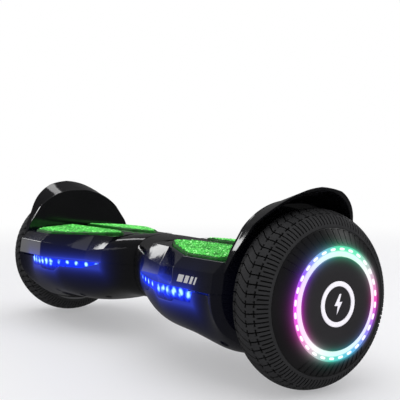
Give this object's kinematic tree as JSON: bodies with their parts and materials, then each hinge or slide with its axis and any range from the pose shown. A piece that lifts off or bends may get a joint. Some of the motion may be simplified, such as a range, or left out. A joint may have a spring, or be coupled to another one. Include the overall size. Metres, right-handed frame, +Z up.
{
  "type": "self balancing hoverboard",
  "caption": "Two-wheeled self balancing board: two hinged halves with gloss shells, fenders, sprung foot pads, light windows and hub motor wheels with light rings.",
  "frame": {"origin": "on the floor, midway between the wheels and under the wheel axis", "axes": "+X along the wheel axis towards the right wheel, -Y the front, +Z up"},
  "size_m": [0.584, 0.184, 0.1875],
  "materials": {
    "gloss_shell": "piano black gloss",
    "light_lens": "clear blue, lit from behind",
    "circuit_board": "solder mask",
    "pad_rubber": "green knobbed rubber, lit from below",
    "cast_aluminium": "as cast",
    "steel": "zinc plated",
    "black_steel": "black oxide",
    "motor_core": "stacked laminations",
    "copper_wire": "enamelled copper",
    "rim_metal": "machined",
    "bearing_steel": "ground",
    "magnet": "nickel plated",
    "tyre_rubber": "matte solid rubber",
    "hub_plastic": "satin",
    "ring_lens": "milky, lit from behind",
    "white_plastic": "satin",
    "cable_sheath": "satin",
    "bronze": "sintered",
    "battery_wrap": "heat shrink",
    "cell_metal": "wrapped cells",
    "black_plastic": "moulded",
    "soft_rubber": "matte",
    "button_plastic": "gloss"
  },
  "bodies": {
    "left_half": {"left_upper_cover": "gloss_shell", "left_lower_cover": "gloss_shell", "left_fender": "gloss_shell", "left_window_lens": "light_lens", "left_light_board": "circuit_board", "left_frame": "cast_aluminium", "left_sensor_board": "circuit_board", "left_axle_clamp": "cast_aluminium", "left_clamp_screws": "steel", "left_cover_screws": "black_steel", "left_axle": "steel", "left_stator": "motor_core", "left_windings": "copper_wire", "left_motor_cable": "cable_sheath", "pivot_tube": "steel", "pivot_circlip": "steel", "stop_pin": "steel", "battery_case": "battery_wrap", "battery_cells": "cell_metal"},
    "right_half": {"right_upper_cover": "gloss_shell", "right_lower_cover": "gloss_shell", "right_fender": "gloss_shell", "right_window_lens": "light_lens", "right_light_board": "circuit_board", "right_frame": "cast_aluminium", "right_sensor_board": "circuit_board", "right_axle_clamp": "cast_aluminium", "right_clamp_screws": "steel", "right_cover_screws": "black_steel", "right_axle": "steel", "right_stator": "motor_core", "right_windings": "copper_wire", "right_motor_cable": "cable_sheath", "pivot_bushes": "bronze", "main_board": "circuit_board", "speaker": "black_plastic", "charge_socket": "black_plastic", "power_switch": "black_plastic"},
    "left_wheel": {"left_tyre": "tyre_rubber", "left_rotor_rim": "rim_metal", "left_motor_cover": "rim_metal", "left_bearings": "bearing_steel", "left_magnets": "magnet", "left_hub_cover": "hub_plastic", "left_light_ring": "ring_lens", "left_badge_ring": "white_plastic"},
    "left_front_pad": {"left_front_pad": "pad_rubber"},
    "left_rear_pad": {"left_rear_pad": "pad_rubber"},
    "right_wheel": {"right_tyre": "tyre_rubber", "right_rotor_rim": "rim_metal", "right_motor_cover": "rim_metal", "right_bearings": "bearing_steel", "right_magnets": "magnet", "right_hub_cover": "hub_plastic", "right_light_ring": "ring_lens", "right_badge_ring": "white_plastic"},
    "right_front_pad": {"right_front_pad": "pad_rubber"},
    "right_rear_pad": {"right_rear_pad": "pad_rubber"},
    "port_cap": {"port_cap": "soft_rubber"},
    "power_button": {"power_button": "button_plastic"}
  },
  "joints": [
    {"name": "centre_pivot", "type": "hinge", "parent": "left_half", "child": "right_half", "pos_m": [0, 0, 0.084], "axis": [1, 0, 0], "range_deg": [-12, 12]},
    {"name": "left_wheel_spin", "type": "hinge", "parent": "left_half", "child": "left_wheel", "pos_m": [-0.257, 0, 0.084], "axis": [1, 0, 0], "continuous": true},
    {"name": "right_wheel_spin", "type": "hinge", "parent": "right_half", "child": "right_wheel", "pos_m": [0.257, 0, 0.084], "axis": [1, 0, 0], "continuous": true},
    {"name": "left_front_pad_press", "type": "slide", "parent": "left_half", "child": "left_front_pad", "axis": [0, 0, -1], "range_m": [0, 0.0015], "stiffness_N_per_m": 20000},
    {"name": "left_rear_pad_press", "type": "slide", "parent": "left_half", "child": "left_rear_pad", "axis": [0, 0, -1], "range_m": [0, 0.0015], "stiffness_N_per_m": 20000},
    {"name": "right_front_pad_press", "type": "slide", "parent": "right_half", "child": "right_front_pad", "axis": [0, 0, -1], "range_m": [0, 0.0015], "stiffness_N_per_m": 20000},
    {"name": "right_rear_pad_press", "type": "slide", "parent": "right_half", "child": "right_rear_pad", "axis": [0, 0, -1], "range_m": [0, 0.0015], "stiffness_N_per_m": 20000},
    {"name": "port_cap_hinge", "type": "hinge", "parent": "right_half", "child": "port_cap", "pos_m": [0.1, 0.0812, 0.0884], "axis": [1, 0, 0], "range_deg": [0, 110]},
    {"name": "power_button_press", "type": "slide", "parent": "right_half", "child": "power_button", "axis": [0, -1, 0], "range_m": [0, 0.0015], "stiffness_N_per_m": 1200}
  ]
}
